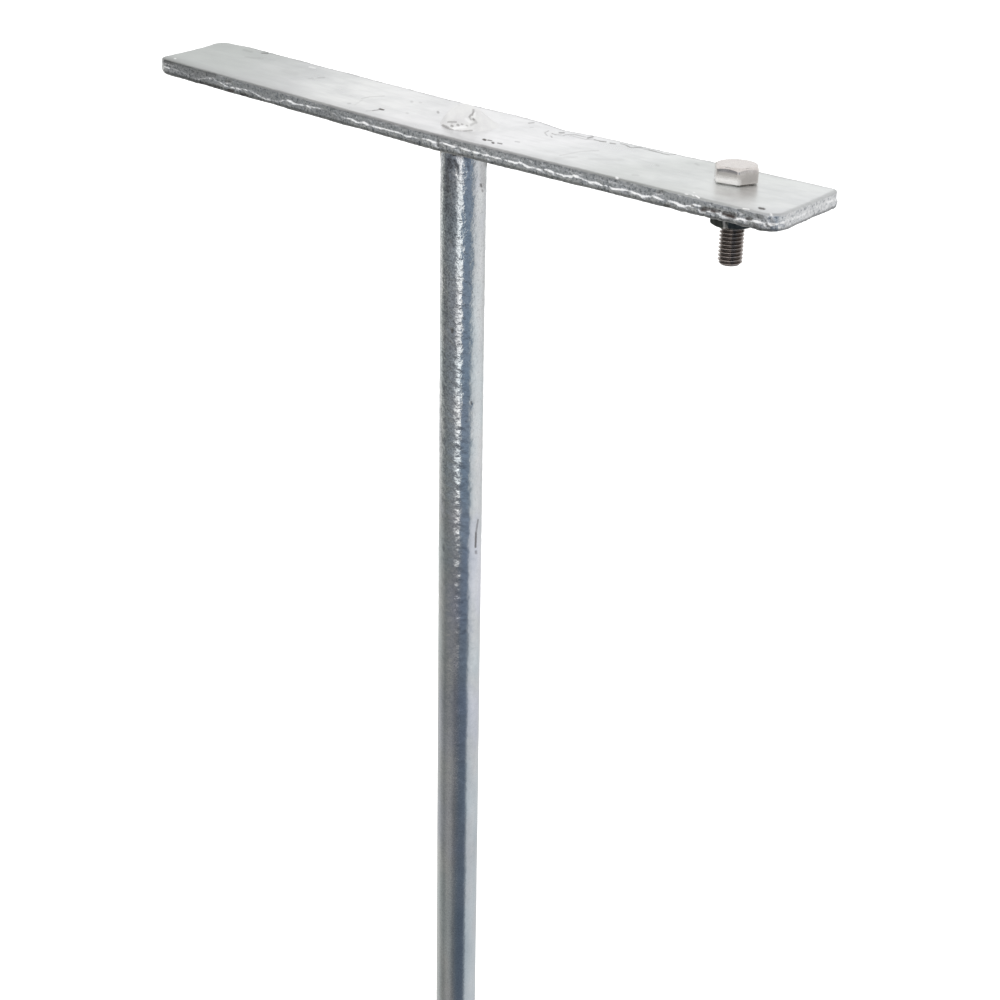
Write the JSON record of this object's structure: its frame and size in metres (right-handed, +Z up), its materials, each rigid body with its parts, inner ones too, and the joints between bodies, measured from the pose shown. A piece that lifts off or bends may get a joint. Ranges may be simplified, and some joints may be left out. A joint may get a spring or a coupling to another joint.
{
  "type": "ground rod",
  "caption": "Ground rod: a pointed round shaft to push into soil, with a flat welded crossbar on top and a hexagon bolt and nut on one arm for an earth cable.",
  "frame": {"origin": "where the shaft's axis meets the crossbar's underside, at the soil line when the rod is pushed home", "axes": "+Z up the shaft, +X along the crossbar towards the bolt, +Y across the crossbar on the side that the bolt hole is offset to"},
  "size_m": [0.2946, 0.04, 1.0068],
  "materials": {
    "galvanised_shaft": "hot-dip galvanised, glossy and lumpy",
    "galvanised_bar": "hot-dip galvanised, satin with drips along the edges",
    "galvanised_weld": "galvanised weld metal",
    "stainless": "plain stainless steel"
  },
  "bodies": {
    "root": {"shaft": "galvanised_shaft", "crossbar": "galvanised_bar", "fillet_weld": "galvanised_weld", "plug_weld": "galvanised_weld", "hex_bolt": "stainless", "spring_washer": "stainless", "hex_nut": "stainless"}
  },
  "joints": []
}
